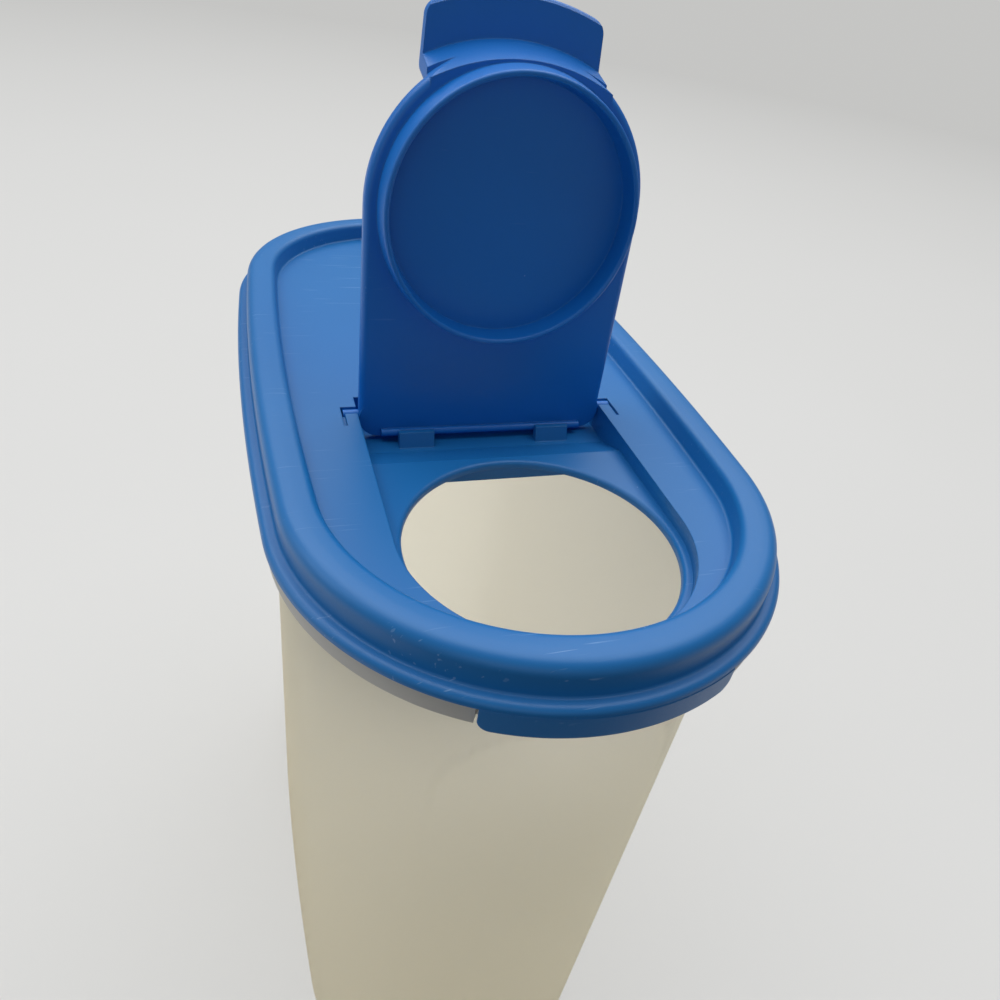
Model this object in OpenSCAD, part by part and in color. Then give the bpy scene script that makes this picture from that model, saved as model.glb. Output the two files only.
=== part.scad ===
// Cereal container with a flip spout: an oval box, a press-on lid and a hinged flap.
// The outline is an oval of four arcs. Sections are drawn in two numbers: the offset from
// the lip's outline, negative inwards, and the height. Y is the long way, the spout is at -Y.

/* [Outline] */
// Width of the lid over its lip
lid_w = 100; // [92:0.5:112]
// Length of the lid over its lip
lid_l = 191.2; // [180:0.1:215]
// Radius of the lip's two ends, a little under half the width, so the sides bow
end_r = 48.48; // [46:0.01:49]

/* [Container] */
// Height from the table to the underside of the lid's lip
container_h = 186; // [110:1:260]
// How far the container's wall stands in from the lip
wall_inset = 6.7; // [6.2:0.1:8]
// Thickness of the container's wall
wall_t = 1.9; // [1.4:0.1:2.4]
// Thickness of the container's floor
floor_t = 2; // [1.4:0.1:3]
// Height of the foot ring under the floor
foot_h = 0.8; // [0.4:0.1:1.5]
// Width of the foot ring's flat face
foot_w = 5.3; // [3:0.1:8]
// Outer radius between the wall and the table
foot_r = 4; // [2:0.5:6]
// Thickness of the shelf and the skirt of the flange below the lip
flange_t = 1.4; // [1:0.1:1.8]
// Depth of the flange's skirt below the lip
flange_drop = 4.35; // [3:0.05:7]
// How far the flange's skirt stands in from the lip
flange_inset = 0.8; // [0.4:0.1:1.2]
// Radius of the shallow thumb recess in the front wall
recess_r = 24; // [16:0.5:28]
// Depth of the thumb recess at its top
recess_depth = 0.9; // [0.4:0.1:1]
// Depth of the thumb recess at its bottom
recess_low_depth = 0.25; // [0.2:0.05:0.4]
// Distance from the lip down to the middle of the thumb recess
recess_drop = 35; // [32:0.5:45]

/* [Rim of the lid] */
// Height of the rim's crown above the lip's underside
rim_h = 8.5; // [7.5:0.1:12]
// Thickness of the rim's walls
rim_t = 1.5; // [1.2:0.1:1.8]
// How far the rim's outer wall stands in from the lip
rim_inset = 2.36; // [2:0.02:2.8]
// Width of the rim over its crown
rim_w = 6.8; // [6.6:0.1:8]
// Radius of the rim's outer edge
rim_outer_r = 2.1; // [1.5:0.1:2.6]
// Radius of the rim's inner edge
rim_inner_r = 1.2; // [0.6:0.1:1.8]
// Height of the lip
lip_h = 1.9; // [1.5:0.1:2.5]
// Depth of the plug wall below the lip's underside
plug_drop = 1.4; // [0.6:0.1:1.6]
// Width of the pull tab at the front
pull_w = 40; // [30:0.5:50]
// Depth of the pull tab below the lip
pull_drop = 4.15; // [3:0.05:7]
// Radius of the pull tab's lower corners
pull_corner_r = 2; // [1:0.1:2.5]

/* [Top of the lid] */
// Height of the panel above the lip's underside
panel_z = 4.05; // [3.9:0.05:5.5]
// Thickness of the panel and of the flap's channel
panel_t = 1.6; // [1.2:0.1:2]
// Distance from the front of the lip back to the middle of the pouring hole
hole_setback = 37.5; // [36.8:0.1:39]
// Radius of the pouring hole
hole_r = 25.5; // [20:0.1:25.5]
// Distance from the middle of the pouring hole back to the top of the ramp
ramp_setback = 27.4; // [26.5:0.1:28.5]
// Distance from the top of the ramp back to its foot
ramp_l = 8.1; // [5:0.1:8.5]

/* [Flap] */
// Width of the flap
flap_w = 54; // [53:0.1:54.2]
// Thickness of the flap
flap_t = 2.2; // [1.8:0.1:2.3]
// Angle that the flap stands open at
open_angle = 92.4; // [90:0.1:93]
// Distance from the middle of the pouring hole back to the hinge line
arm = 42.6; // [42.5:0.1:44]
// Height of the hinge line above the closed flap's underside
hinge_rise = 1.8; // [1.6:0.1:1.9]
// Height of the sealing ring on the underside
ring_h = 4.5; // [3:0.1:4.8]
// Thickness of the sealing ring at its foot
ring_t = 2; // [1.8:0.1:2.6]
// Width of the finger tab
tab_w = 32.4; // [24:0.2:34]
// How far the finger tab's end stays inside the lip
tab_inset = 3.1; // [2.5:0.1:5]
// Radius of the finger tab's corners
tab_corner_r = 3; // [1.5:0.1:4]
// Radius of the hinge stubs
stub_r = 1.1; // [0.8:0.05:1.2]
// Length of each hinge stub
stub_l = 3.2; // [2:0.1:4]
// Radius of the stop bar along the flap's tail
bar_r = 0.8; // [0.6:0.05:0.9]
// Length of the stop bar
bar_l = 45; // [42:0.5:46]

/* [Stop lugs] */
// Distance between the two lugs
lug_gap = 23; // [16:0.5:26]
// Width of each lug
lug_w = 7.5; // [4:0.5:9]
// Thickness of each lug at its top
lug_t = 1.1; // [0.8:0.1:1.4]

/* [Fits] */
// Gap between the lid and the container where one slides in the other
slide_gap = 0.3; // [0.2:0.05:0.4]
// Gap under the closed flap and over the rim
seat_gap = 0.3; // [0.2:0.05:0.4]
// Gap around the sealing ring in the pouring hole
ring_gap = 0.65; // [0.3:0.05:0.8]
// Gap around each hinge stub
stub_gap = 0.2; // [0.1:0.05:0.3]
// Gap between the stop bar and what it passes or meets
bar_gap = 0.2; // [0.15:0.05:0.4]

/* [Hidden] */

$fn = 96;
over = 0.5;                                   // what a cutter reaches past the face it cuts
arc_steps = 6;                                // straight steps in a rounded corner of a section
side_fn = 720;                                // full-circle count on the long side arcs

// The four arcs of the outline
half_w = lid_w / 2;
end_y = lid_l / 2 - end_r;
side_r = (half_w * half_w + end_y * end_y - end_r * end_r) / (2 * (half_w - end_r));
side_x = side_r - half_w;
reach = 57.6;                                 // past the sides, where the joints' lines end
reach_y = end_y * (1 + reach / side_x);

// The rim of the lid and what fits in it, as offsets from the lip
rim_in = -rim_inset - rim_w;
rim_lean = 0.45;                              // from the rim's inner wall out to its foot
rim_foot = rim_in - rim_lean;
groove_out = -rim_inset - rim_t;
plug_out = rim_in + rim_t;
bead_out = groove_out - slide_gap;
neck_in = plug_out + slide_gap;
neck_out = neck_in + wall_t;
bead_top = rim_h - rim_t - 2 * slide_gap;
bead_h = 3.4;
bead_r = 0.8;
shelf_top = -slide_gap;
shelf_low = shelf_top - flange_t;
plug_low = -plug_drop;
step_z = plug_low - 2 * slide_gap;
wall_out = -wall_inset;
wall_in = wall_out - wall_t;
foot_in = wall_out - foot_r - foot_w;
floor_step = 0.15;                            // how far the floor lies below the round of the wall

// The channel, the hole and the trough of the lid; the flap rests over channel_z
channel_depth = 3.2;
channel_z = panel_z - channel_depth;
under_z = channel_z + seat_gap;
hinge_z = under_z + hinge_rise;
hole_y = lid_l / 2 - hole_setback;
hinge_y = hole_y - arm;
ramp_y = hole_y - ramp_setback;
trough_y = ramp_y - ramp_l;
ring_r = hole_r - ring_gap;
flap_r = flap_w / 2;
side_gap = 0.3;
channel_r = flap_r + side_gap;
channel_wall = 1.5;
bar_drop = 3.16;                              // from the hinge line down to the bar, flap standing
bar_out = 0.6;                                // from the underside out to the bar's middle
tail_over = 1.1;                              // how far the tail reaches past the bar's middle
tail_l = bar_drop + tail_over;
tail_corner_r = tail_l;
sweep_r = norm([bar_drop, hinge_rise + bar_out]) + bar_r;
trough_z = hinge_z - sweep_r - 2 * bar_gap;
rear_y = hinge_y - sweep_r - 2 * bar_gap;
bar_y = hinge_y - bar_drop * cos(open_angle) + (hinge_rise + bar_out) * sin(open_angle);
lug_y = bar_y + bar_r + bar_gap;
lug_top = under_z - seat_gap;
lug_lean = 0.36;                              // how much a lug thickens for each unit down
rib_t = 1.5;
rib_low = -4;
cheek_over = 1.4;                             // how far a cheek reaches past the stub's end
cheek_l = stub_l + cheek_over;
cheek_w = 4.2;
slit_w = 0.7;
slit_l = 5.8;
slit_depth = 0.8;
lip_edge = 0.5;                               // upright part of the lip, under its rounding
rim_edge = 0.1;                               // upright step between the lip and the rim's wall
plate_lap = 0.2;                              // how far the panel reaches into the rim's wall
front_spread = 60;                            // angle of the swept front pieces to each side
pull_proud = 0.1;                             // how far the pull tab stands proud of the lip

// The flap's step and tab, which follow the rim's inner wall; radii are about the end centre
tab_z = rim_h + seat_gap;
tab_r = end_r - tab_inset;
step_gap = 0.85;                              // from the rim's inner wall to the step's top
step_lean = 2.2;                              // how much the step's wall leans from top to foot
step_w = tab_w + 2.2;
step_top_r = end_r + rim_in - step_gap;
step_low_r = step_top_r - step_lean;
corner_x = tab_w / 2 - tab_corner_r;
corner_y = end_y + sqrt(pow(tab_r - tab_corner_r, 2) - corner_x * corner_x);
edge_r = 1.2;                                 // rounding of the flap's lower edges
ring_taper = 0.45;                            // how much each wall of the ring closes in
tip_r = ring_t / 2 - ring_taper;

// Points along an arc, from one angle to another
function arc(x, y, r, from, to, n = arc_steps) =
    [for (i = [0:n]) let (a = from + (to - from) * i / n) [x + r * cos(a), y + r * sin(a)]];

// Sweeps a section of offsets and heights once round the outline; the four arcs meet in
// planes through their centres
module round_the_oval(low, high) {
    for (side = [0, 180])
        rotate(side) {
            intersection() {
                translate([0, end_y])
                    rotate_extrude()
                        translate([end_r, 0])
                            children();
                translate([0, 0, low])
                    linear_extrude(high - low)
                        polygon([[0, end_y], [reach, reach_y], [reach, lid_l], [-reach, lid_l],
                                 [-reach, reach_y]]);
            }
            intersection() {
                translate([-side_x, 0])
                    rotate(180)
                        rotate_extrude($fn = side_fn)
                            translate([side_r, 0])
                                children();
                translate([0, 0, low])
                    linear_extrude(high - low)
                        polygon([[-side_x, 0], [reach, -reach_y], [reach, reach_y]]);
            }
        }
}

// Flat plate whose edge lies hidden in the swept wall
module plate(half, end, t) {
    translate([-half, -end_y, 0])
        cube([2 * half, 2 * end_y, t]);
    for (side = [-1, 1])
        translate([0, side * end_y, 0])
            cylinder(r = end, h = t);
}

// Sweeps a section round the front end only, spread degrees to each side
module round_the_front(spread) {
    translate([0, -end_y])
        rotate(-90 - spread)
            rotate_extrude(angle = 2 * spread)
                children();
}

module container_section() {
    h = container_h;
    polygon(concat(
        [[foot_in, 0]],
        arc(wall_out - foot_r, foot_r, foot_r, -90, 0),
        [[wall_out, h + step_z - wall_t],
         [neck_out, h + shelf_low],
         [-flange_inset - flange_t, h + shelf_low],
         [-flange_inset - flange_t, h - flange_drop],
         [-flange_inset, h - flange_drop],
         [-flange_inset, h + shelf_top],
         [neck_out, h + shelf_top],
         [neck_out, h + bead_top - bead_h - bead_r]],
        [[bead_out, h + bead_top - bead_h]],
        arc(bead_out - bead_r, h + bead_top - bead_r, bead_r, 0, 90),
        arc(neck_in + bead_r, h + bead_top - bead_r, bead_r, 90, 180),
        [[neck_in, h + step_z],
         [wall_in, h + step_z - wall_t]],
        arc(wall_in - foot_r + floor_t, foot_h + floor_step + foot_r,
            foot_r - floor_t, 0, -90),
        [[foot_in, foot_h + floor_t + floor_step]]));
}

// What the thumb recess takes away: a round patch, deeper towards its top
module recess_cut() {
    low = container_h - recess_drop - recess_r;
    face = end_r + wall_out;
    intersection() {
        translate([0, -end_y, low - over])
            difference() {
                cylinder(r = face + 4 * over, h = 2 * (recess_r + over));
                translate([0, 0, -over])
                    cylinder(r1 = face - recess_low_depth, r2 = face - recess_depth,
                             h = 2 * (recess_r + 2 * over));
            }
        translate([0, -lid_l / 2, container_h - recess_drop])
            rotate([-90, 0, 0])
                cylinder(r = recess_r, h = end_r);
    }
}

// Space for the pull tab in the flange
module flange_notch() {
    difference() {
        translate([-pull_w / 2 - 2 * slide_gap, -lid_l / 2 - over, container_h - flange_drop - over])
            cube([pull_w + 4 * slide_gap, end_r / 2, flange_drop + over + shelf_top + over]);
        translate([0, -end_y, container_h - flange_drop - 2 * over])
            cylinder(r = end_r - rim_t - 4 * slide_gap, h = flange_drop + 4 * over);
    }
}

module container() {
    color([0.83, 0.82, 0.74])
        difference() {
            union() {
                round_the_oval(-over, container_h + rim_h)
                    container_section();
                translate([0, 0, foot_h])
                    plate(half_w + foot_in + foot_w / 2, end_r + foot_in + foot_w / 2, floor_t);
            }
            recess_cut();
            flange_notch();
        }
}

module rim_section() {
    lip_r = lip_h - lip_edge;
    polygon(concat(
        [[0, 0]],
        arc(-lip_r, lip_h - lip_r, lip_r, 0, 90),
        [[-rim_inset, lip_h + rim_edge]],
        arc(-rim_inset - rim_outer_r, rim_h - rim_outer_r, rim_outer_r, 0, 90),
        arc(rim_in + rim_inner_r, rim_h - rim_inner_r, rim_inner_r, 90, 180),
        [[rim_foot, panel_z],
         [rim_foot, channel_z + panel_t / 2],
         [plug_out - rim_t, channel_z],
         [plug_out - rim_t, plug_low],
         [plug_out, plug_low],
         [plug_out, rim_h - rim_t],
         [groove_out, rim_h - rim_t],
         [groove_out, 0]]));
}

// Face of the pull tab, seen from the front
module pull_face() {
    x = pull_w / 2 - pull_corner_r;
    translate([-pull_w / 2, -pull_drop + pull_corner_r])
        square([pull_w, pull_drop - pull_corner_r + slide_gap]);
    translate([-x, -pull_drop])
        square([2 * x, pull_drop]);
    for (side = [-1, 1])
        translate([side * x, -pull_drop + pull_corner_r])
            circle(r = pull_corner_r);
}

module pull_tab() {
    intersection() {
        round_the_front(front_spread)
            translate([end_r - rim_t, -pull_drop - over])
                square([rim_t + pull_proud, pull_drop + 2 * over]);
        translate([0, -end_y, 0])
            rotate([90, 0, 0])
                linear_extrude(lid_l)
                    pull_face();
    }
}

// Straight run and round front of the channel, grown by extra on its sides
module channel_shape(extra, low, high) {
    translate([0, -hole_y, low])
        cylinder(r = channel_r + extra, h = high - low);
    translate([-channel_r - extra, -hole_y, low])
        cube([2 * (channel_r + extra), hole_y - rear_y, high - low]);
}

// Ramp and trough behind the hole; thick moves the floor and the two ends out
module trough_shape(half, thick, top) {
    translate([half, 0, 0])
        rotate([90, 0, -90])
            linear_extrude(2 * half)
                polygon([[ramp_y + thick, channel_z - thick / 4],
                         [trough_y + thick / 3, trough_z - thick],
                         [rear_y - thick, trough_z - thick],
                         [rear_y - thick, top],
                         [ramp_y + thick, top]]);
}

// Block outside the channel's wall that holds a hinge stub
module cheek() {
    translate([channel_r, -hinge_y - cheek_w, hinge_z - stub_r - 2 * channel_wall])
        cube([cheek_l, 2 * cheek_w, panel_z - hinge_z + stub_r + 2 * channel_wall]);
}

// Seat of a hinge stub, open upwards so that the stub snaps in, and the groove beside it
module stub_seat() {
    r = stub_r + stub_gap;
    reach = stub_l + 2 * stub_gap;
    translate([flap_r, -hinge_y, hinge_z]) {
        rotate([0, 90, 0])
            cylinder(r = r, h = reach);
        translate([0, -r, 0])
            cube([reach, 2 * r, panel_z - hinge_z + over]);
    }
    translate([flap_r + reach - slit_w, -hinge_y - slit_l, panel_z - slit_depth])
        cube([slit_w, slit_l, slit_depth + over]);
}

module lug() {
    drop = lug_top - trough_z + over;
    translate([lug_gap / 2 + lug_w, 0, 0])
        rotate([90, 0, -90])
            linear_extrude(lug_w)
                polygon([[lug_y, lug_top],
                         [lug_y, lug_top - drop],
                         [lug_y + lug_t + lug_lean * drop, lug_top - drop],
                         [lug_y + lug_t, lug_top]]);
}

module lid() {
    color([0.13, 0.38, 0.67])
        translate([0, 0, container_h]) {
            difference() {
                union() {
                    round_the_oval(plug_low - over, rim_h + over)
                        rim_section();
                    translate([0, 0, panel_z - panel_t])
                        plate(half_w + rim_foot + plate_lap, end_r + plug_out - rim_t / 2, panel_t);
                    pull_tab();
                    channel_shape(channel_wall, channel_z - panel_t, panel_z - panel_t / 2);
                    trough_shape(channel_r + channel_wall, channel_wall, panel_z - panel_t / 2);
                    translate([-channel_r, -ramp_y - over, rib_low])
                        cube([2 * channel_r, rib_t, channel_z - rib_low - over]);
                    for (side = [0, 1])
                        mirror([side, 0, 0])
                            cheek();
                }
                channel_shape(0, channel_z, panel_z + over);
                trough_shape(channel_r, 0, channel_z + over);
                translate([0, -hole_y, rib_low])
                    cylinder(r = hole_r, h = panel_z - rib_low);
                for (side = [0, 1])
                    mirror([side, 0, 0])
                        stub_seat();
            }
            for (side = [0, 1])
                mirror([side, 0, 0])
                    lug();
        }
}

// Section of one half of the flap's plate, rounded along its lower edge
module plate_section(r) {
    polygon(concat(
        [[0, under_z]],
        arc(r - edge_r, under_z + edge_r, edge_r, -90, 0),
        [[r, under_z + flap_t],
         [0, under_z + flap_t]]));
}

module flap_plate() {
    translate([0, -hole_y, 0])
        rotate_extrude()
            plate_section(flap_r);
    for (side = [0, 1])
        mirror([side, 0, 0])
            translate([0, -hinge_y, 0])
                rotate([90, 0, 0])
                    linear_extrude(arm)
                        plate_section(flap_r);
    translate([-flap_r + tail_corner_r, -hinge_y - over, under_z])
        cube([flap_w - 2 * tail_corner_r, tail_l + over, flap_t]);
    for (side = [-1, 1])
        translate([side * (flap_r - tail_corner_r), -hinge_y + tail_l - tail_corner_r, under_z])
            cylinder(r = tail_corner_r, h = flap_t);
}

// What the step clears from the plate's front edge
module step_clearance() {
    intersection() {
        round_the_front(front_spread)
            polygon([[step_low_r - over / 4, under_z - over],
                     [tab_r + 4 * over, under_z - over],
                     [tab_r + 4 * over, tab_z],
                     [step_top_r, tab_z]]);
        translate([-step_w / 2, -lid_l / 2, under_z - over])
            cube([step_w, lid_l / 2 - end_y, rim_h]);
    }
}

// Plan of the step and the tab, with the tab's round corners
module tab_plan() {
    far = 1.3;
    polygon([[-step_w / 2, end_y + step_low_r / 2],
             [step_w / 2, end_y + step_low_r / 2],
             [tab_w / 2, corner_y],
             [-tab_w / 2, corner_y]]);
    for (side = [-1, 1])
        translate([side * corner_x, corner_y])
            circle(r = tab_corner_r);
    polygon([[0, end_y],
             [far * corner_x, end_y + far * (corner_y - end_y)],
             [-far * corner_x, end_y + far * (corner_y - end_y)]]);
}

// Section of the step wall and the tab, as radii about the end centre
module step_section() {
    lean = (step_top_r - step_low_r) / (tab_z - under_z);
    back_r = step_low_r - flap_t;
    polygon(concat(
        [[back_r, under_z],
         [step_low_r, under_z],
         [step_top_r, tab_z],
         [tab_r - flap_t / 4, tab_z]],
        arc(tab_r - flap_t / 2, tab_z + flap_t / 2, flap_t / 2, -60, 90),
        arc(step_top_r - flap_t + edge_r, tab_z + flap_t - edge_r, edge_r, 90, 180 - atan(lean)),
        [[back_r + lean * flap_t, under_z + flap_t],
         [back_r - rim_t, under_z + flap_t],
         [back_r - rim_t, under_z]]));
}

// Up to the panel, the step stays inside the channel
module channel_clearance() {
    height = panel_z + seat_gap - under_z;
    translate([0, -hole_y, under_z - over])
        difference() {
            cylinder(r = lid_w / 2, h = height + over);
            translate([0, 0, -over])
                cylinder(r = flap_r, h = height + 3 * over);
        }
}

module flap_step() {
    difference() {
        intersection() {
            round_the_front(front_spread)
                step_section();
            mirror([0, 1, 0])
                linear_extrude(tab_z + 2 * flap_t)
                    tab_plan();
        }
        channel_clearance();
    }
}

// Ring that plugs the pouring hole, with leaning walls and a round tip
module flap_ring() {
    low = under_z - ring_h;
    translate([0, -hole_y, 0])
        rotate_extrude()
            polygon(concat(
                [[ring_r, under_z + over],
                 [ring_r, under_z]],
                arc(ring_r - ring_t / 2, low + tip_r, tip_r, 0, -180, 2 * arc_steps),
                [[ring_r - ring_t, under_z],
                 [ring_r - ring_t, under_z + over]]));
}

module flap_closed() {
    difference() {
        flap_plate();
        step_clearance();
    }
    flap_step();
    flap_ring();
    for (side = [0, 1])
        mirror([side, 0, 0])
            translate([flap_r - over, -hinge_y, hinge_z])
                rotate([0, 90, 0])
                    cylinder(r = stub_r, h = stub_l + over);
    translate([-bar_l / 2, -hinge_y + bar_drop, under_z - bar_out])
        rotate([0, 90, 0])
            cylinder(r = bar_r, h = bar_l);
}

module flap() {
    color([0.07, 0.32, 0.64])
        translate([0, -hinge_y, container_h + hinge_z])
            rotate([-open_angle, 0, 0])
                translate([0, hinge_y, -hinge_z])
                    flap_closed();
}

container();
lid();
flap();
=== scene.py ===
import math

import bmesh
import bpy
from mathutils import Matrix, Vector


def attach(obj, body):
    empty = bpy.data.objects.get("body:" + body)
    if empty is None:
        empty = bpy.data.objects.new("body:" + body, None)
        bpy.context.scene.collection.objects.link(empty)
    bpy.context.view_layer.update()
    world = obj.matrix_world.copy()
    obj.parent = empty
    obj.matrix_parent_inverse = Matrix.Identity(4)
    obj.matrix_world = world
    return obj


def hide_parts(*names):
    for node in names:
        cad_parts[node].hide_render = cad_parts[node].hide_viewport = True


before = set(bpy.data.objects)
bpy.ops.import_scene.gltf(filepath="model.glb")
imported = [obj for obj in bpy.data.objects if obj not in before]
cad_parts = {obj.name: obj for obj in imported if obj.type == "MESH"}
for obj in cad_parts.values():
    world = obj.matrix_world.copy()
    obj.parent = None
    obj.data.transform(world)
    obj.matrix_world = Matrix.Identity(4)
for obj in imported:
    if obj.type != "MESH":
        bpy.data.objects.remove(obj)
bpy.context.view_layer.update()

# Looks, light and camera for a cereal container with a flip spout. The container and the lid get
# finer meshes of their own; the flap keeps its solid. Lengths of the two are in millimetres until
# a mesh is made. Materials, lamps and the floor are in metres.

MM = 0.001

# Where the underside of the lid's lip lies; heights on the lid start from it.
LIP_Z = 186.0

# Edges that turn by more than this many degrees stay sharp.
CONTAINER_SHARP = 40.0
LID_SHARP = 17.0

# Nodes for materials. Noise scales are per metre.

# Sockets of a Mix node that mixes colours.
MIX_FAC, MIX_A, MIX_B, MIX_OUT = 0, 6, 7, 2

# The stretch of a cloud's value over which one tone turns into the other.
CLOUD_LOW, CLOUD_HIGH = 0.3, 0.7

BLACK, WHITE = (0, 0, 0), (1, 1, 1)


def material(name):
    """A new material, its node tree, its BSDF, its output and its coordinates."""
    mat = bpy.data.materials.new(name)
    mat.use_nodes = True
    tree = mat.node_tree
    coords = tree.nodes.new("ShaderNodeTexCoord")
    return mat, tree, tree.nodes["Principled BSDF"], tree.nodes["Material Output"], coords


def add(tree, kind, **inputs):
    """Adds a node and sets its inputs, given by name with _ for a space."""
    node = tree.nodes.new(kind)
    for key, value in inputs.items():
        node.inputs[key.replace("_", " ")].default_value = value
    return node


def link(tree, a, out, b, into):
    tree.links.new(a.outputs[out], b.inputs[into])


def noise(tree, coords, scale, detail=2.0):
    node = add(tree, "ShaderNodeTexNoise", Scale=scale, Detail=detail)
    link(tree, coords, "Object", node, "Vector")
    return node


def ramp(tree, source, stops, out="Fac"):
    """A colour ramp over a value: stops are (position, colour)."""
    node = tree.nodes.new("ShaderNodeValToRGB")
    link(tree, source, out, node, "Fac")
    marks = node.color_ramp.elements
    for mark, (place, colour) in zip(marks, stops):
        mark.position = place
        mark.color = (*colour, 1.0)
    return node


def clouds(tree, coords, scale, detail, dark, light):
    """Soft clouds between two tones."""
    cloud = noise(tree, coords, scale, detail)
    return ramp(tree, cloud, [(CLOUD_LOW, dark), (CLOUD_HIGH, light)])


def span(tree, source, low, high, out="Fac", start=0.0, stop=1.0):
    """Maps a value from start to stop onto low to high."""
    node = add(tree, "ShaderNodeMapRange", From_Min=start, From_Max=stop, To_Min=low, To_Max=high)
    link(tree, source, out, node, "Value")
    return node


def below(tree, source, out, limit):
    """1 where a value is less than the limit, else 0."""
    node = tree.nodes.new("ShaderNodeMath")
    node.operation = "LESS_THAN"
    node.inputs[1].default_value = limit
    link(tree, source, out, node, 0)
    return node


def feed(tree, source, node, into):
    """Gives an input its source: a number, or a (node, output) pair."""
    if isinstance(source, tuple):
        link(tree, source[0], source[1], node, into)
    else:
        node.inputs[into].default_value = source


def times(tree, a, b):
    """Multiplies two sources."""
    node = tree.nodes.new("ShaderNodeMath")
    node.operation = "MULTIPLY"
    feed(tree, a, node, 0)
    feed(tree, b, node, 1)
    return node


def mixed(tree, fac, a, b):
    """The source a where the value fac is 0, and the plain tint b where it is 1."""
    node = tree.nodes.new("ShaderNodeMix")
    node.data_type = "RGBA"
    link(tree, fac, "Value", node, MIX_FAC)
    feed(tree, a, node, MIX_A)
    node.inputs[MIX_B].default_value = (*b, 1.0)
    return node


def surface(tree, share, a, b, target):
    """Sends shader a to the target's surface, with a share of shader b in its place."""
    node = tree.nodes.new("ShaderNodeMixShader")
    feed(tree, share, node, 0)
    feed(tree, a, node, 1)
    feed(tree, b, node, 2)
    link(tree, node, "Shader", target, "Surface")


# The plastics

# Each has clouds in its tone and a grain that gives its roughness, from low to high, and bump.
BLUE_CLOUD, BLUE_GRAIN, BLUE_ROUGH, BLUE_BUMP = 14.0, 2600.0, (0.34, 0.48), 0.06
CREAM_CLOUD, CREAM_GRAIN, CREAM_ROUGH, CREAM_BUMP = 9.0, 1800.0, (0.36, 0.48), 0.05
CLOUD_DETAIL = 3.0
GRAIN_DEPTH = 0.0002
SOFT_EDGE = 0.00035
SOFT_SAMPLES = 6
PLASTIC_IOR = 1.49

# Specks: one to a cell, in a share of the cells, and how much of the pale tone they take.
SPECK_CELL, SPECK_SHARE, SPECK_SIZE, SPECK_TONE = 0.0042, 0.16, 0.00016, 0.55

# Hair scratches: drawn out along one direction, in spots, and how much of the pale tone they take.
HAIR_TURN, HAIR_SCALE = (0.3, 0.2, 0.7), (60.0, 2200.0, 900.0)
HAIR_LOW, HAIR_HIGH, HAIR_TONE = 0.69, 0.74, 0.5
SPOT_SCALE, SPOT_LOW, SPOT_HIGH = 45.0, 0.50, 0.62


def specks(tree, coords):
    """1 in small round specks."""
    cells = add(tree, "ShaderNodeTexVoronoi", Scale=1 / SPECK_CELL)
    link(tree, coords, "Object", cells, "Vector")
    near = below(tree, cells, "Distance", SPECK_SIZE / SPECK_CELL)
    split = tree.nodes.new("ShaderNodeSeparateColor")
    link(tree, cells, "Color", split, "Color")
    some = below(tree, split, "Red", SPECK_SHARE)
    return times(tree, (near, "Value"), (some, "Value"))


def scratches(tree, coords):
    """1 in fine hair scratches."""
    place = add(tree, "ShaderNodeMapping", Rotation=HAIR_TURN, Scale=HAIR_SCALE)
    link(tree, coords, "Object", place, "Vector")
    hair = add(tree, "ShaderNodeTexNoise", Scale=1.0, Detail=1.0)
    link(tree, place, "Vector", hair, "Vector")
    lines = ramp(tree, hair, [(HAIR_LOW, BLACK), (HAIR_HIGH, WHITE)])
    spot = noise(tree, coords, SPOT_SCALE, 1.0)
    spots = ramp(tree, spot, [(SPOT_LOW, BLACK), (SPOT_HIGH, WHITE)])
    return times(tree, (lines, "Color"), (spots, "Color"))


def moulded(tree, bsdf, grain, rough, strength):
    """Gives a surface the roughness and the bump of its grain, and returns the bump."""
    satin = span(tree, grain, *rough)
    link(tree, satin, "Result", bsdf, "Roughness")
    fine = add(tree, "ShaderNodeBump", Strength=strength, Distance=GRAIN_DEPTH)
    link(tree, grain, "Fac", fine, "Height")
    link(tree, fine, "Normal", bsdf, "Normal")
    return fine


def blue_plastic(name, dark, light, pale):
    """Satin moulded plastic: a fine grain, soft clouds, and a few specks and hair scratches."""
    mat, tree, bsdf, _, coords = material(name)
    tone = clouds(tree, coords, BLUE_CLOUD, CLOUD_DETAIL, dark, light)
    dust = times(tree, (specks(tree, coords), "Value"), SPECK_TONE)
    dusty = mixed(tree, dust, (tone, "Color"), pale)
    worn = times(tree, (scratches(tree, coords), "Value"), HAIR_TONE)
    used = mixed(tree, worn, (dusty, MIX_OUT), pale)
    link(tree, used, MIX_OUT, bsdf, "Base Color")
    fine = moulded(tree, bsdf, noise(tree, coords, BLUE_GRAIN), BLUE_ROUGH, BLUE_BUMP)
    soft = add(tree, "ShaderNodeBevel", Radius=SOFT_EDGE)
    soft.samples = SOFT_SAMPLES
    link(tree, soft, "Normal", fine, "Normal")
    bsdf.inputs["IOR"].default_value = PLASTIC_IOR
    return mat


def cream_plastic(name, dark, light, through):
    """Natural polypropylene: satin, and a share of the light comes through it."""
    mat, tree, bsdf, out, coords = material(name)
    tone = clouds(tree, coords, CREAM_CLOUD, CLOUD_DETAIL, dark, light)
    link(tree, tone, "Color", bsdf, "Base Color")
    moulded(tree, bsdf, noise(tree, coords, CREAM_GRAIN), CREAM_ROUGH, CREAM_BUMP)
    glow = tree.nodes.new("ShaderNodeBsdfTranslucent")
    link(tree, tone, "Color", glow, "Color")
    surface(tree, through, (bsdf, "BSDF"), (glow, "BSDF"), out)
    return mat


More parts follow.
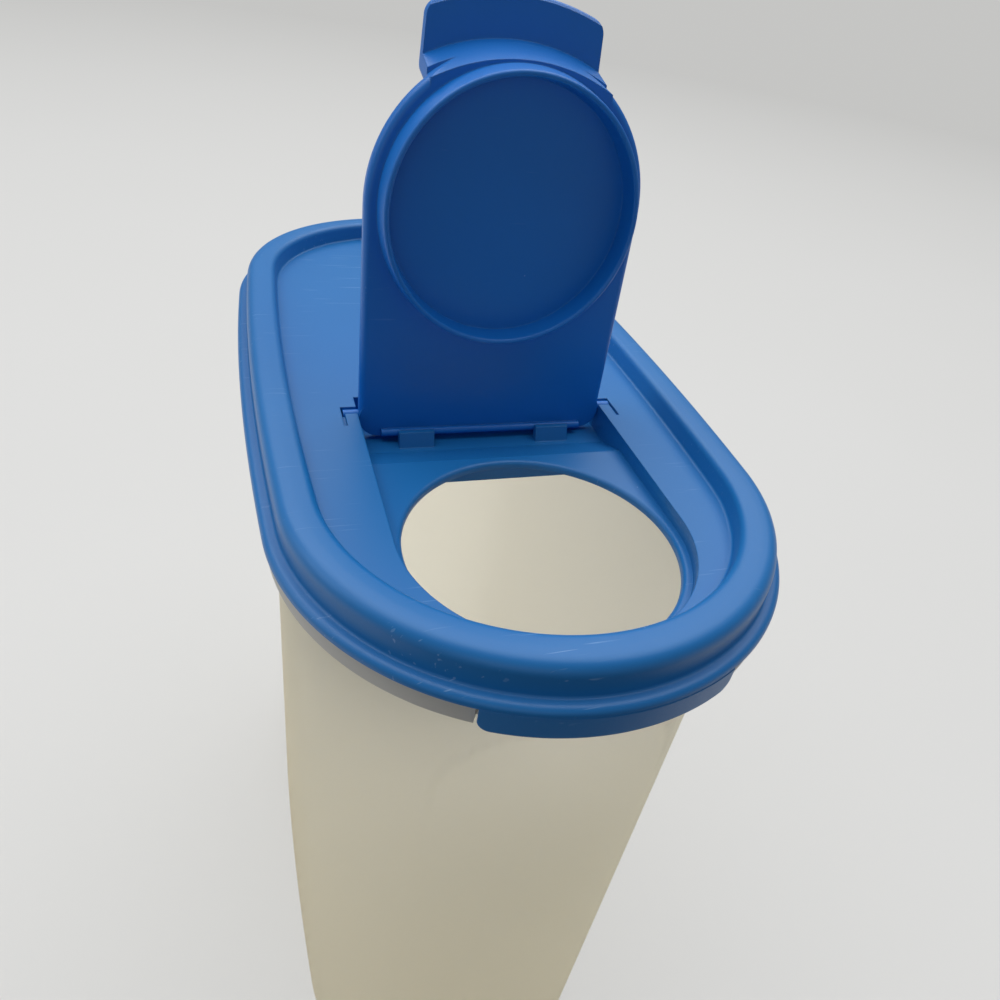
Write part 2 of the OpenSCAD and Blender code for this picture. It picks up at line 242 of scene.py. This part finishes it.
LID_BLUE = blue_plastic("lid_blue", (0.006, 0.145, 0.430), (0.010, 0.165, 0.470), (0.20, 0.38, 0.66))
# Painted light: the flap's blue is a brighter, more saturated copy of the lid's blue, so that the
# flap's shaded underside comes out lighter than the lid's front wall.
FLAP_BLUE_PAINTED_LIGHT = blue_plastic("flap_blue_painted_light", (0.003, 0.152, 0.560), (0.004, 0.166, 0.600), (0.16, 0.38, 0.80))
CREAM = cream_plastic("cream", (0.988, 0.962, 0.885), (0.992, 0.970, 0.900), 0.85)
# Painted shade: a darker, greyer and less translucent copy of the cream, for the skirt under the lip,
# which is the same plastic seen in shade.
CREAM_PAINTED_SHADE = cream_plastic("cream_painted_shade", (0.62, 0.61, 0.58), (0.66, 0.65, 0.62), 0.25)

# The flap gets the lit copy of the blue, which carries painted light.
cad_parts["flap"].data.materials[0] = FLAP_BLUE_PAINTED_LIGHT

# The outline of the lid's lip: two long side arcs that bow out, and two round ends.

SIDE_X, END_Y = 729.6, 47.12
SIDE_R, END_R = 779.6, 48.48
JOINT = math.atan2(END_Y, SIDE_X)
SIDE_STEPS, LID_END_STEPS, CONTAINER_END_STEPS = 24, 120, 160


def outline(end_steps, marks=()):
    """Stations round the outline: (centre x, centre y, radius, direction x, direction y).

    marks are angles, in radians from the front, where the front end gets a station more.
    """
    def arc(cx, cy, radius, start, stop, steps, extra=()):
        angles = [start + (stop - start) * k / steps for k in range(steps)]
        angles = sorted(angles + [a for a in extra if start < a < stop])
        return [(cx, cy, radius, math.cos(a), math.sin(a)) for a in angles]

    front = [a - math.pi / 2 for a in marks]
    return (arc(-SIDE_X, 0, SIDE_R, -JOINT, JOINT, SIDE_STEPS)
            + arc(0, END_Y, END_R, JOINT, math.pi - JOINT, end_steps)
            + arc(SIDE_X, 0, SIDE_R, math.pi - JOINT, math.pi + JOINT, SIDE_STEPS)
            + arc(0, -END_Y, END_R, -math.pi + JOINT, -JOINT, end_steps, front))


def rounded(corners, steps):
    """A section with round corners, from (offset, height, radius) corners."""
    points = []
    last = len(corners) - 1
    for i, (x, z, r) in enumerate(corners):
        if not r or i in (0, last):
            points.append((x, z))
            continue
        here = Vector((x, z))
        back = (Vector(corners[i - 1][:2]) - here).normalized()
        ahead = (Vector(corners[i + 1][:2]) - here).normalized()
        spread = back.angle(ahead)
        reach = r / math.tan(spread / 2)
        middle = here + (back + ahead).normalized() * (r / math.sin(spread / 2))
        start = here + back * reach - middle
        turn = (here + ahead * reach - middle).angle_signed(start)
        for k in range(steps + 1):
            a = turn * k / steps
            c, d = math.cos(a), math.sin(a)
            points.append((middle.x + c * start.x - d * start.y, middle.y + d * start.x + c * start.y))
    return points


# The pull tab's faces, as offsets from the outline; the container's skirt is notched for it.
PULL_OUT, PULL_BACK = 0.1, -1.5

# The container. Offsets from the outline are minus inwards, and heights start from its foot.

OUTER_S, INNER_S, BASE_S = -6.7, -8.6, -16.0
FOOT_R, FOOT_TOP, INNER_R = 4.0, 5.0, 2.0
BASE_LOW, BASE_TOP = 0.8, 2.95
NECK_S, BEAD_S, MOUTH_S = -5.46, -4.16, -7.36
NECK_TOP, BEAD_LOW, MOUTH_TOP = LIP_Z + 2.2, LIP_Z + 3.0, LIP_Z + 6.4
SHOULDER_Z, MOUTH_LOW = LIP_Z - 3.9, LIP_Z - 2.0
SKIRT_OUT, SKIRT_IN = -0.8, -2.2
FLANGE_TOP, FLANGE_LOW, SKIRT_LOW = LIP_Z - 0.3, LIP_Z - 1.7, LIP_Z - 4.35

# The wall has a row of points at every step, for the thumb recess to bend.
WALL_LOW, WALL_HIGH, WALL_STEP = 6.0, LIP_Z - 8.0, 2.0
CORNER_STEPS = 6

# The thumb recess is a round hollow in the front wall, whose rim falls away over a narrow edge.
# It deepens upwards from its start, over its fade, both as shares of its radius.
RECESS_R, RECESS_Z, RECESS_DEPTH, RECESS_EDGE = 24.0, LIP_Z - 35.0, 1.1, 0.9
RECESS_START, RECESS_FADE = -0.9, 1.5

# The notch in the skirt: half its width, how far out the skirt may reach in it, and how far
# either side of its end, in radians, the outline gets a station.
NOTCH_X, NOTCH_S, NOTCH_TURN = 20.9, -2.7, 0.0006

# What lies further out and higher than this, under the lip, is the skirt that gets painted shade: a
# darker, greyer copy of the cream.
PAINTED_SHADE_S, PAINTED_SHADE_Z = -2.4, LIP_Z - 4.4


def recess(x, z):
    """Depth of the thumb recess: crisp round its top, running out downwards."""
    inside = RECESS_R - math.hypot(x, z - RECESS_Z)
    edge = min(max(inside / RECESS_EDGE, 0.0), 1.0)
    rise = z - RECESS_Z - RECESS_START * RECESS_R
    fade = min(max(rise / (RECESS_FADE * RECESS_R), 0.0), 1.0)
    return RECESS_DEPTH * edge * edge * (3 - 2 * edge) * fade * fade


def container_section():
    """From the middle of the base out, up the wall, round the rim and down inside."""
    rows = range(int((WALL_HIGH - WALL_LOW) / WALL_STEP))
    foot = [(BASE_S, BASE_LOW, 0), (BASE_S, 0.0, 0.3), (OUTER_S, 0.0, FOOT_R), (OUTER_S, FOOT_TOP, 0)]
    wall = [(OUTER_S, WALL_LOW + WALL_STEP * k, 0) for k in rows]
    flange = [(OUTER_S, SHOULDER_Z, 0.6), (NECK_S, FLANGE_LOW, 0.3), (SKIRT_IN, FLANGE_LOW, 0.3),
              (SKIRT_IN, SKIRT_LOW, 0.3), (SKIRT_OUT, SKIRT_LOW, 0.45), (SKIRT_OUT, FLANGE_TOP, 0.2)]
    rim = [(NECK_S, FLANGE_TOP, 0.2), (NECK_S, NECK_TOP, 0.3), (BEAD_S, BEAD_LOW, 0.3),
           (BEAD_S, MOUTH_TOP, 0.8), (MOUTH_S, MOUTH_TOP, 0.8), (MOUTH_S, MOUTH_LOW, 0.5)]
    inside = [(INNER_S, SHOULDER_Z, 0.5), (INNER_S, BASE_TOP, INNER_R), (BASE_S, BASE_TOP, 0)]
    return rounded(foot + wall + flange + rim + inside, CORNER_STEPS)


def container_points(section):
    """The section's points at every station, with the skirt's notch and the thumb recess."""
    edge = math.asin(NOTCH_X / (END_R + PULL_BACK))
    marks = [side * edge + step for side in (1, -1) for step in (-NOTCH_TURN, NOTCH_TURN)]
    stations = outline(CONTAINER_END_STEPS, marks)
    points = []
    for cx, cy, radius, dx, dy in stations:
        for s, z in section:
            x, y = cx + (radius + s) * dx, cy + (radius + s) * dy
            if y < -END_Y and abs(dx) < math.sin(edge) and z < LIP_Z:
                s = min(s, NOTCH_S)
            if y < -END_Y and s == OUTER_S:
                s -= recess(x, z)
            points.append(Vector((cx + (radius + s) * dx, cy + (radius + s) * dy, z)) * MM)
    return points, len(stations)


def container_mesh():
    section = container_section()
    points, rows = container_points(section)
    n = len(section)
    faces = [(i * n + k, (i + 1) % rows * n + k, (i + 1) % rows * n + k + 1, i * n + k + 1)
             for i in range(rows) for k in range(n - 1)]
    faces.append(tuple(i * n for i in reversed(range(rows))))
    faces.append(tuple(i * n + n - 1 for i in range(rows)))
    mesh = bpy.data.meshes.new("container_body")
    mesh.from_pydata(points, [], faces)
    mesh.shade_smooth()
    mesh.set_sharp_from_angle(angle=math.radians(CONTAINER_SHARP))
    for mat in (CREAM, CREAM_PAINTED_SHADE):
        mesh.materials.append(mat)
    # The skirt's faces under the lip get the darker copy of the cream, which is painted shade.
    skirt = {k for k in range(n - 1)
             if all(s > PAINTED_SHADE_S and PAINTED_SHADE_Z < z < LIP_Z for s, z in section[k:k + 2])}
    for i in range(rows):
        for k in skirt:
            mesh.polygons[i * (n - 1) + k].material_index = 1
    return mesh


container_body = bpy.data.objects.new("container_body", container_mesh())
bpy.context.scene.collection.objects.link(container_body)
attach(container_body, "container")
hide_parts("container")

# The lid: one solid, from a swept shell, what hangs under its panel, and what is cut from both.

PANEL_Z, PANEL_T, FLOOR_Z, WALL_T = 4.05, 1.6, 0.85, 1.5
CHANNEL_R, CHANNEL_STEPS = 27.3, 96
HOLE_Y, HOLE_R, HOLE_STEPS = -58.1, 25.5, 160
HOLE_EDGE, HOLE_EDGE_STEPS = 0.9, 8
HINGE_Y, HINGE_Z = -15.5, 2.95
RAMP_Y, TROUGH_Y, REAR_Y, TROUGH_Z = -30.7, -22.6, -10.33, -2.22
RIB_T, RIB_LOW = 1.0, -4.0
SEAT_R, SEAT_X, SEAT_STEPS = 1.3, 30.6, 16
CHEEK_HALF = 4.2
SLIT_W, SLIT_L, SLIT_DEPTH = 0.7, 5.8, 0.8
LUG_Y, LUG_X, LUG_W, LUG_T = -19.03, 11.5, 7.5, 1.1
LUG_LEAN, LUG_SINK = 0.36, 1.0
PULL_HALF, PULL_CORNER, PULL_LOW = 21.2, 2.0, -4.15
PULL_LAP, PULL_STEPS = 0.3, 60

# The shell's section, in offsets from the outline and heights: over the rim from its foot on the
# panel to its heel on the lip, then under it round the groove and the plug wall.
SHELL_S, SHELL_STEPS = -10.4, 7
RIM_FOOT_S = -9.66
RIM_IN_S, RIM_IN_Z = -9.2, 8.42
CROWN_S, CROWN_Z = -6.0, 8.52
RIM_OUT_S, RIM_OUT_Z = -2.30, 8.35
HEEL_S, HEEL_Z = -2.42, 1.95
LIP_TOP = 1.88
GROOVE_OUT, GROOVE_IN, GROOVE_TOP = -3.86, -7.66, 7.0
PLUG_LOW_S, PLUG_TOP_S, PLUG_LOW = -9.16, -9.3, -1.4

# How far solids run past the faces they cross, from a hair to clear of everything.
HAIR, OVER, CLEAR, FAR_BELOW = 0.01, 0.5, 2.0, -9.0


class Solids:
    """Closed islands gathered into one mesh, in millimetres and the lid's own heights."""

    def __init__(self):
        self.points = []
        self.faces = []

    def tube(self, rings):
        """Rings of equally many points, skinned one to the next and closed by flat ends."""
        base, n, last = len(self.points), len(rings[0]), len(rings) - 1
        self.points += [point for ring in rings for point in ring]
        for r in range(last):
            low, high = base + r * n, base + (r + 1) * n
            self.faces += [(low + i, low + (i + 1) % n, high + (i + 1) % n, high + i) for i in range(n)]
        self.faces.append(tuple(base + i for i in reversed(range(n))))
        self.faces.append(tuple(base + last * n + i for i in range(n)))

    def upright(self, shape, low, high):
        """A shape over (x, y) drawn out along Z."""
        self.tube([[(x, y, z) for x, y in shape] for z in (low, high)])

    def across(self, shape, left, right):
        """A shape over (y, z) drawn out along X."""
        self.tube([[(x, y, z) for y, z in shape] for x in (left, right)])

    def box(self, x0, x1, y0, y1, z0, z1):
        self.upright([(x0, y0), (x1, y0), (x1, y1), (x0, y1)], z0, z1)

    def make(self, name):
        mesh = bpy.data.meshes.new(name)
        mesh.from_pydata(self.points, [], self.faces)
        work = bmesh.new()
        work.from_mesh(mesh)
        bmesh.ops.recalc_face_normals(work, faces=work.faces)
        work.to_mesh(mesh)
        work.free()
        obj = bpy.data.objects.new(name, mesh)
        bpy.context.scene.collection.objects.link(obj)
        return obj


def combine(base, other, operation, crossing=False):
    """Joins the other solid to the base, or takes it away; crossing says its islands overlap."""
    joint = base.modifiers.new(operation, "BOOLEAN")
    joint.object = other
    joint.operation = operation
    joint.solver = "EXACT"
    joint.use_self = crossing
    graph = bpy.context.evaluated_depsgraph_get()
    solid = bpy.data.meshes.new_from_object(base.evaluated_get(graph))
    base.modifiers.clear()
    base.data = solid
    bpy.data.objects.remove(other)


def mirrored(near, far):
    """The stretch from near to far on the right, and its mirror image, each lowest first."""
    return [sorted((side * near, side * far)) for side in (-1, 1)]


def channel_shape(radius):
    """The channel from above: a round front, straight sides and a flat rear."""
    turns = [math.pi + math.pi * k / CHANNEL_STEPS for k in range(CHANNEL_STEPS + 1)]
    front = [(radius * math.cos(a), HOLE_Y + radius * math.sin(a)) for a in turns]
    return [(-radius, REAR_Y)] + front + [(radius, REAR_Y)]


def lid_shell():
    """The rim, the lip and the plug wall in one sweep, closed by the panel's two faces."""
    under = PANEL_Z - PANEL_T
    panel = [(SHELL_S, PANEL_Z, 0), (RIM_FOOT_S, PANEL_Z, 0.55)]
    rim = [(RIM_IN_S, RIM_IN_Z, 1.45), (CROWN_S, CROWN_Z, 8.0), (RIM_OUT_S, RIM_OUT_Z, 2.55)]
    lip = [(HEEL_S, HEEL_Z, 0.45), (0.0, LIP_TOP, 1.3), (0.0, 0.0, 0.3)]
    groove = [(GROOVE_OUT, 0.0, 0.3), (GROOVE_OUT, GROOVE_TOP, 0.3), (GROOVE_IN, GROOVE_TOP, 0.3)]
    plug = [(GROOVE_IN, PLUG_LOW, 0.4), (PLUG_LOW_S, PLUG_LOW, 0.4), (PLUG_TOP_S, under, 0.4),
            (SHELL_S, under, 0)]
    section = rounded(panel + rim + lip + groove + plug, SHELL_STEPS)
    stations = outline(LID_END_STEPS)
    shell = Solids()
    shell.tube([[(cx + (r + s) * dx, cy + (r + s) * dy, z) for cx, cy, r, dx, dy in stations]
                for s, z in section])
    return shell.make("lid_shell")


def pull_tab(more):
    """Curved tab under the front of the lip, with round lower corners."""
    out, back = END_R + PULL_OUT, END_R + PULL_BACK
    rings = []
    for k in range(-PULL_STEPS, PULL_STEPS + 1):
        x = PULL_HALF * math.sin(math.pi / 2 * k / PULL_STEPS)
        past = max(abs(x) - (PULL_HALF - PULL_CORNER), 0.0)
        low = PULL_LOW + PULL_CORNER - math.sqrt(max(PULL_CORNER ** 2 - past ** 2, 0.0))
        a = math.asin(x / out)
        corners = ((out, PULL_LAP), (out, low), (back, low), (back, PULL_LAP))
        rings.append([(r * math.sin(a), -END_Y - r * math.cos(a), z) for r, z in corners])
    more.tube(rings)


def lid_under():
    """The trough, the channel's floor and walls, the cheeks, the rib and the pull tab."""
    floor, more = Solids(), Solids()
    wide, deep = CHANNEL_R + WALL_T, TROUGH_Z - WALL_T
    top = PANEL_Z - PANEL_T / 2
    floor.upright(channel_shape(wide), FLOOR_Z - PANEL_T, top)
    more.across([(RAMP_Y - WALL_T, FLOOR_Z - WALL_T / 4), (TROUGH_Y - OVER, deep),
                 (REAR_Y + WALL_T, deep), (REAR_Y + WALL_T, top), (RAMP_Y - WALL_T, top)],
                -wide, wide)
    more.box(-CHANNEL_R, CHANNEL_R, RAMP_Y - RIB_T, RAMP_Y + OVER, RIB_LOW, FLOOR_Z - OVER)
    low = HINGE_Z - SEAT_R - WALL_T
    for left, right in mirrored(CHANNEL_R, SEAT_X + WALL_T):
        more.box(left, right, HINGE_Y - CHEEK_HALF, HINGE_Y + CHEEK_HALF, low, top)
    pull_tab(more)
    under = floor.make("lid_under")
    combine(under, more.make("lid_more"), "UNION", True)
    return under


def pouring_hole(cut):
    """A round hole whose upper edge is rounded over."""
    edge = [(HOLE_R, FAR_BELOW), (HOLE_R, FLOOR_Z - HOLE_EDGE)]
    for k in range(1, HOLE_EDGE_STEPS + 1):
        a = math.pi / 2 * k / HOLE_EDGE_STEPS
        edge.append((HOLE_R + HOLE_EDGE * (1 - math.cos(a)), FLOOR_Z - HOLE_EDGE * (1 - math.sin(a))))
    edge.append((HOLE_R + HOLE_EDGE, FLOOR_Z + OVER))
    turns = [2 * math.pi * k / HOLE_STEPS for k in range(HOLE_STEPS)]
    cut.tube([[(r * math.cos(a), HOLE_Y + r * math.sin(a), z) for a in turns] for r, z in edge])


def hinge_seats(cut):
    """A seat with a round floor at each end of the hinge, and the slit that frees its wall."""
    above = PANEL_Z + CLEAR
    turns = [math.pi + math.pi * k / SEAT_STEPS for k in range(SEAT_STEPS + 1)]
    seat = [(HINGE_Y + SEAT_R * math.cos(a), HINGE_Z + SEAT_R * math.sin(a)) for a in turns]
    seat += [(HINGE_Y + SEAT_R, above), (HINGE_Y - SEAT_R, above)]
    for left, right in mirrored(CHANNEL_R - OVER, SEAT_X):
        cut.across(seat, left, right)
    for left, right in mirrored(SEAT_X - SLIT_W, SEAT_X - HAIR):
        cut.box(left, right, HINGE_Y - SLIT_L, HINGE_Y, PANEL_Z - SLIT_DEPTH, above - OVER)


def lid_openings():
    """The channel, the ramp and trough, the pouring hole and the seats of the hinge."""
    channel, cut = Solids(), Solids()
    channel.upright(channel_shape(CHANNEL_R), FLOOR_Z, PANEL_Z + CLEAR)
    cut.across([(RAMP_Y, FLOOR_Z), (TROUGH_Y, TROUGH_Z), (REAR_Y - HAIR, TROUGH_Z),
                (REAR_Y - HAIR, FLOOR_Z + OVER), (RAMP_Y, FLOOR_Z + OVER)],
               -CHANNEL_R + HAIR, CHANNEL_R - HAIR)
    pouring_hole(cut)
    hinge_seats(cut)
    openings = channel.make("lid_openings")
    combine(openings, cut.make("lid_cuts"), "UNION", True)
    return openings


def lid_lugs():
    """Two lugs on the ramp that the open flap leans on."""
    more = Solids()
    low = TROUGH_Z - LUG_SINK
    foot = LUG_T + LUG_LEAN * (FLOOR_Z - low)
    shape = [(LUG_Y, FLOOR_Z), (LUG_Y, low), (LUG_Y - foot, low), (LUG_Y - LUG_T, FLOOR_Z)]
    for left, right in mirrored(LUG_X, LUG_X + LUG_W):
        more.across(shape, left, right)
    return more.make("lid_lugs")


lid_body = lid_shell()
combine(lid_body, lid_under(), "UNION")
combine(lid_body, lid_openings(), "DIFFERENCE")
combine(lid_body, lid_lugs(), "UNION")
lid_body.name = lid_body.data.name = "lid_body"
lid_body.data.transform(Matrix.Diagonal((MM, MM, MM, 1.0)) @ Matrix.Translation((0, 0, LIP_Z)))
lid_body.data.materials.clear()
lid_body.data.materials.append(LID_BLUE)
lid_body.data.shade_smooth()
lid_body.data.set_sharp_from_angle(angle=math.radians(LID_SHARP))
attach(lid_body, "lid")
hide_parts("lid")

# The floor. The camera sees it at one even level that turns greyer with distance, and the room
# beyond it at the far grey.

FLOOR_SIZE = 40.0
PAPER_DARK, PAPER_LIGHT = (0.70, 0.70, 0.69), (0.72, 0.72, 0.715)
PAPER_CLOUD, PAPER_DETAIL, PAPER_ROUGH = 3.0, 2.0, 0.9
NEAR_GREY, FAR_GREY = (0.72, 0.72, 0.71), (0.56, 0.56, 0.55)
NEAR_AT, FAR_AT = 0.2, 2.2

# How much of what the camera sees near the object is the even level; far away it is all of it.
NEAR_SHARE = 0.6

# A dark round patch before the object: painted shade that stands in for the light that the person with
# the camera blocked where they stood. The object sees it and the camera doesn't.
SHADE_PATCH_PLACE, SHADE_PATCH_REACH, SHADE_PATCH_SOFT = (-0.1, -0.76, 0.0), 0.58, 0.06
SHADE_PATCH_TONE = (0.055, 0.055, 0.055)


def distance(tree, coords, place):
    """How far a point lies from a place."""
    node = tree.nodes.new("ShaderNodeVectorMath")
    node.operation = "DISTANCE"
    node.inputs[1].default_value = place
    link(tree, coords, "Object", node, 0)
    return node


def floor_paper(name):
    """Pale paper with the dark patch of painted shade, under the even level that the camera sees."""
    mat, tree, bsdf, out, coords = material(name)
    path = tree.nodes.new("ShaderNodeLightPath")
    paper = clouds(tree, coords, PAPER_CLOUD, PAPER_DETAIL, PAPER_DARK, PAPER_LIGHT)
    # Painted shade: the paper turns dark in the round patch for every ray but the camera's.
    aside = distance(tree, coords, SHADE_PATCH_PLACE)
    patch = span(tree, aside, 1.0, 0.0, "Value", SHADE_PATCH_REACH, SHADE_PATCH_REACH + SHADE_PATCH_SOFT)
    unseen = span(tree, path, 1.0, 0.0, "Is Camera Ray")
    dark = times(tree, (patch, "Result"), (unseen, "Result"))
    shown = mixed(tree, dark, (paper, "Color"), SHADE_PATCH_TONE)
    link(tree, shown, MIX_OUT, bsdf, "Base Color")
    bsdf.inputs["Roughness"].default_value = PAPER_ROUGH
    away = span(tree, distance(tree, coords, (0, 0, 0)), 0.0, 1.0, "Value", NEAR_AT, FAR_AT)
    even = tree.nodes.new("ShaderNodeEmission")
    grey = ramp(tree, away, [(0.0, NEAR_GREY), (1.0, FAR_GREY)], "Result")
    link(tree, grey, "Color", even, "Color")
    share = span(tree, away, NEAR_SHARE, 1.0, "Result")
    seen = times(tree, (path, "Is Camera Ray"), (share, "Result"))
    surface(tree, (seen, "Value"), (bsdf, "BSDF"), (even, "Emission"), out)
    return mat


bpy.ops.mesh.primitive_plane_add(size=FLOOR_SIZE)
obj = bpy.context.object
obj.name = "floor"
obj.data.materials.append(floor_paper("floor_paper"))

# Lamps and room: a big soft key over the object and two weak fills, in a dim room.

ROOM_COLOUR, ROOM_STRENGTH = (0.80, 0.82, 0.84), 0.22


def area(name, place, target, size, power):
    """A soft lamp at a place, aimed at a target, with its width and length and its power in watts."""
    lamp = bpy.data.lights.new(name, "AREA")
    lamp.shape = "RECTANGLE"
    lamp.size, lamp.size_y = size
    lamp.energy = power
    obj = bpy.data.objects.new(name, lamp)
    bpy.context.scene.collection.objects.link(obj)
    obj.location = place
    aim = Vector(target) - Vector(place)
    obj.rotation_euler = aim.to_track_quat("-Z", "Y").to_euler()


area("key", (0.1, 0.75, 1.9), (0, 0.25, 0), (3.4, 2.6), 60.0)
area("left", (-1.3, 0.3, 0.8), (0, 0, 0.15), (0.8, 0.8), 3.0)
area("front", (-0.5, -1.2, 0.5), (0, 0, 0.1), (0.9, 0.6), 0.9)

world = bpy.data.worlds.new("soft_room")
bpy.context.scene.world = world
world.use_nodes = True
room = world.node_tree
lighting = room.nodes["Background"]
lighting.inputs["Color"].default_value = (*ROOM_COLOUR, 1.0)
lighting.inputs["Strength"].default_value = ROOM_STRENGTH
beyond = add(room, "ShaderNodeBackground", Color=(*FAR_GREY, 1.0), Strength=1.0)
path = room.nodes.new("ShaderNodeLightPath")
surface(room, (path, "Is Camera Ray"), (lighting, "Background"), (beyond, "Background"),
        room.nodes["World Output"])

# The camera, fitted to the photograph: turned to the right, tilted down and rolled, in radians.

YAW, PITCH, ROLL = 0.3934, 0.6405, 0.1690
EYE = Vector((-50.142, -155.274, LIP_Z + 90.057)) * MM
SENSOR, LENS = 36.0, 28.06

forward = Vector((math.sin(YAW) * math.cos(PITCH), math.cos(YAW) * math.cos(PITCH), -math.sin(PITCH)))
level = Vector((math.cos(YAW), -math.sin(YAW), 0.0))
above = level.cross(forward)
right = math.cos(ROLL) * level + math.sin(ROLL) * above
upward = math.cos(ROLL) * above - math.sin(ROLL) * level
cam = bpy.data.cameras.new("camera")
cam.sensor_width = SENSOR
cam.lens = LENS
cam.clip_start = 0.01
camera = bpy.data.objects.new("camera", cam)
bpy.context.scene.collection.objects.link(camera)
turn = Matrix((right, upward, -forward)).transposed().to_4x4()
camera.matrix_world = Matrix.Translation(EYE) @ turn
bpy.context.scene.camera = camera
bpy.context.scene.view_settings.view_transform = "Standard"
